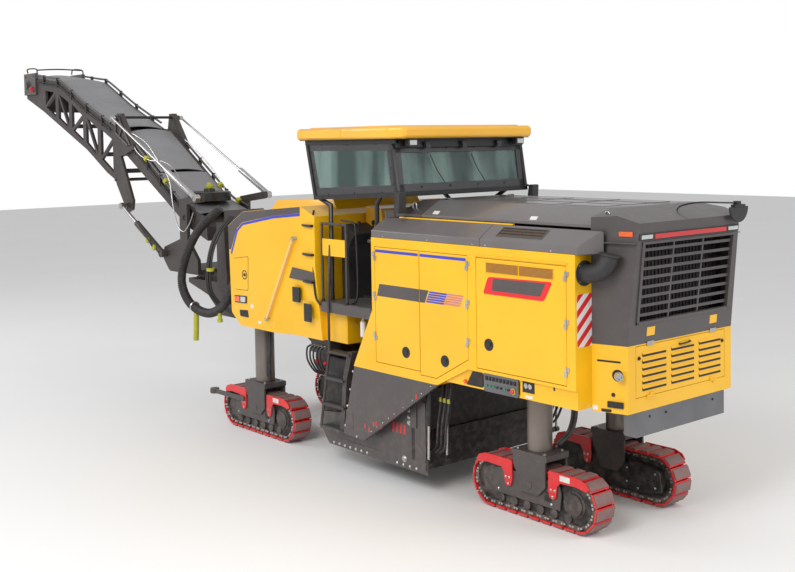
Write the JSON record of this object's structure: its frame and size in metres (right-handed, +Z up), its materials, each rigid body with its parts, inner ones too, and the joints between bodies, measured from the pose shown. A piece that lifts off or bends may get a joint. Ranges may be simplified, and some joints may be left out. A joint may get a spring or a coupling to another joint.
{
  "type": "cold planer milling machine",
  "caption": "Tracked road milling machine: drum under the belly, raised legs on tracks, operator canopy and a long slewing, lifting, folding loading conveyor.",
  "frame": {"origin": "on the ground under the middle of the whole machine's box", "axes": "+X towards the conveyor head, +Y the machine's left, +Z up"},
  "size_m": [16.17, 2.5444, 5.71],
  "materials": {
    "yellow_paint": "gloss",
    "charcoal_paint": "satin",
    "frame_paint": "satin",
    "black_paint": "satin",
    "bare_steel": "satin",
    "cast_iron": "matte",
    "track_shoe": "matte",
    "amber_shell": "gloss",
    "black_plastic": "matte",
    "window_glass": "polished"
  },
  "bodies": {
    "machine": {"bulkhead": "charcoal_paint", "canopy_frame": "black_paint", "canopy_roof": "amber_shell", "conveyor_mount": "frame_paint", "drum_housing": "charcoal_paint", "engine_block": "cast_iron", "front_body": "yellow_paint", "glass_front": "window_glass", "glass_left": "window_glass", "glass_rear": "window_glass", "glass_right": "window_glass", "intake_elbow": "black_plastic", "ladder_left": "frame_paint", "ladder_right": "frame_paint", "main_frame": "frame_paint", "operator_station": "black_plastic", "platform": "black_paint", "primary_conveyor": "charcoal_paint", "rear_bumper": "frame_paint", "rear_cowl": "charcoal_paint", "rear_panel": "yellow_paint", "side_box_left": "yellow_paint", "side_box_right": "yellow_paint", "side_cover_left": "charcoal_paint", "side_cover_right": "charcoal_paint", "skirt_left": "charcoal_paint", "skirt_right": "charcoal_paint"},
    "drum": {"milling_drum": "bare_steel"},
    "side_plate_left": {"side_plate_left": "charcoal_paint"},
    "side_plate_right": {"side_plate_right": "charcoal_paint"},
    "scraper": {"scraper": "frame_paint"},
    "hood": {"hood": "charcoal_paint"},
    "rear_door": {"rear_door": "yellow_paint"},
    "swivel": {"swivel": "frame_paint"},
    "lower_boom": {"lower_boom": "frame_paint"},
    "upper_boom": {"upper_boom": "frame_paint"},
    "ram_barrels": {"ram_barrel_left": "frame_paint", "ram_barrel_right": "frame_paint"},
    "ram_rods": {"ram_rod_left": "bare_steel", "ram_rod_right": "bare_steel"},
    "stays": {"stay_left": "bare_steel", "stay_right": "bare_steel"},
    "leg_front_left": {"leg_front_left": "bare_steel"},
    "track_front_left": {"track_frame_front_left": "frame_paint", "track_front_left": "track_shoe"},
    "leg_rear_left": {"leg_rear_left": "bare_steel"},
    "track_rear_left": {"track_frame_rear_left": "frame_paint", "track_rear_left": "track_shoe"},
    "leg_front_right": {"leg_front_right": "bare_steel"},
    "track_front_right": {"track_frame_front_right": "frame_paint", "track_front_right": "track_shoe"},
    "leg_rear_right": {"leg_rear_right": "bare_steel"},
    "track_rear_right": {"track_frame_rear_right": "frame_paint", "track_rear_right": "track_shoe"},
    "door_front_left": {"door_front_left": "yellow_paint"},
    "door_front_right": {"door_front_right": "yellow_paint"},
    "door_middle_left": {"door_middle_left": "yellow_paint"},
    "door_middle_right": {"door_middle_right": "yellow_paint"},
    "door_rear_left": {"door_rear_left": "yellow_paint"},
    "door_rear_right": {"door_rear_right": "yellow_paint"}
  },
  "joints": [
    {"name": "drum_spin", "type": "hinge", "parent": "machine", "child": "drum", "pos_m": [-4.105, 0, 0.8], "axis": [0, 1, 0], "continuous": true},
    {"name": "side_plate_left_lift", "type": "slide", "parent": "machine", "child": "side_plate_left", "axis": [0, 0, 1], "range_m": [-0.22, 0.18]},
    {"name": "side_plate_right_lift", "type": "slide", "parent": "machine", "child": "side_plate_right", "axis": [0, 0, 1], "range_m": [-0.22, 0.18]},
    {"name": "scraper_lift", "type": "slide", "parent": "machine", "child": "scraper", "axis": [0, 0, 1], "range_m": [-0.24, 0.1]},
    {"name": "leg_front_left_lift", "type": "slide", "parent": "machine", "child": "leg_front_left", "axis": [0, 0, 1], "range_m": [0, 0.35]},
    {"name": "track_front_left_steer", "type": "hinge", "parent": "leg_front_left", "child": "track_front_left", "pos_m": [-1.315, 0.85, 0.7], "axis": [0, 0, 1], "range_deg": [-15, 15]},
    {"name": "leg_rear_left_lift", "type": "slide", "parent": "machine", "child": "leg_rear_left", "axis": [0, 0, 1], "range_m": [0, 0.35]},
    {"name": "track_rear_left_steer", "type": "hinge", "parent": "leg_rear_left", "child": "track_rear_left", "pos_m": [-6.555, 0.68, 0.7], "axis": [0, 0, 1], "range_deg": [-15, 15]},
    {"name": "leg_front_right_lift", "type": "slide", "parent": "machine", "child": "leg_front_right", "axis": [0, 0, 1], "range_m": [0, 0.35]},
    {"name": "track_front_right_steer", "type": "hinge", "parent": "leg_front_right", "child": "track_front_right", "pos_m": [-1.315, -0.85, 0.7], "axis": [0, 0, 1], "range_deg": [-15, 15]},
    {"name": "leg_rear_right_lift", "type": "slide", "parent": "machine", "child": "leg_rear_right", "axis": [0, 0, 1], "range_m": [0, 0.35]},
    {"name": "track_rear_right_steer", "type": "hinge", "parent": "leg_rear_right", "child": "track_rear_right", "pos_m": [-6.555, -0.68, 0.7], "axis": [0, 0, 1], "range_deg": [-15, 15]},
    {"name": "conveyor_slew", "type": "hinge", "parent": "machine", "child": "swivel", "pos_m": [1.195, 0, 2.02], "axis": [0, 0, 1], "range_deg": [-60, 60]},
    {"name": "conveyor_lift", "type": "hinge", "parent": "swivel", "child": "lower_boom", "pos_m": [1.345, 0, 3.02], "axis": [0, -1, 0], "range_deg": [-22, 6]},
    {"name": "conveyor_fold", "type": "hinge", "parent": "lower_boom", "child": "upper_boom", "pos_m": [3.895, 0, 3.6], "axis": [0, 1, 0], "range_deg": [0, 75]},
    {"name": "ram_swing", "type": "hinge", "parent": "swivel", "child": "ram_barrels", "pos_m": [1.975, 0, 2.4], "axis": [0, -1, 0], "range_deg": [-30, 9]},
    {"name": "ram_stroke", "type": "slide", "parent": "ram_barrels", "child": "ram_rods", "axis": [0.8842, 0, 0.467], "range_m": [-0.31, 0.09]},
    {"name": "stay_swing", "type": "hinge", "parent": "swivel", "child": "stays", "pos_m": [0.825, 0, 3.36], "axis": [0, -1, 0], "range_deg": [-20, 6]},
    {"name": "door_front_left_swing", "type": "hinge", "parent": "machine", "child": "door_front_left", "pos_m": [-4.387, 1.262, 2.2], "axis": [0, 0, -1], "range_deg": [0, 95]},
    {"name": "door_front_right_swing", "type": "hinge", "parent": "machine", "child": "door_front_right", "pos_m": [-4.387, -1.262, 2.2], "axis": [0, 0, 1], "range_deg": [0, 95]},
    {"name": "door_middle_left_swing", "type": "hinge", "parent": "machine", "child": "door_middle_left", "pos_m": [-6.018, 1.262, 2.2], "axis": [0, 0, 1], "range_deg": [0, 95]},
    {"name": "door_middle_right_swing", "type": "hinge", "parent": "machine", "child": "door_middle_right", "pos_m": [-6.018, -1.262, 2.2], "axis": [0, 0, -1], "range_deg": [0, 95]},
    {"name": "door_rear_left_swing", "type": "hinge", "parent": "machine", "child": "door_rear_left", "pos_m": [-7.458, 1.262, 2.2], "axis": [0, 0, 1], "range_deg": [0, 95]},
    {"name": "door_rear_right_swing", "type": "hinge", "parent": "machine", "child": "door_rear_right", "pos_m": [-7.458, -1.262, 2.2], "axis": [0, 0, -1], "range_deg": [0, 95]},
    {"name": "rear_door_drop", "type": "hinge", "parent": "machine", "child": "rear_door", "pos_m": [-7.967, 0, 1.587], "axis": [0, -1, 0], "range_deg": [0, 90]},
    {"name": "hood_tilt", "type": "hinge", "parent": "machine", "child": "hood", "pos_m": [-4.958, 0, 3.512], "axis": [0, 1, 0], "range_deg": [0, 50]}
  ],
  "couplings": [
    {"joint": "ram_swing", "follows": "conveyor_lift", "ratio": 1.28},
    {"joint": "ram_stroke", "follows": "conveyor_lift", "m_per_rad": 0.77},
    {"joint": "stay_swing", "follows": "conveyor_lift", "ratio": 0.868}
  ]
}
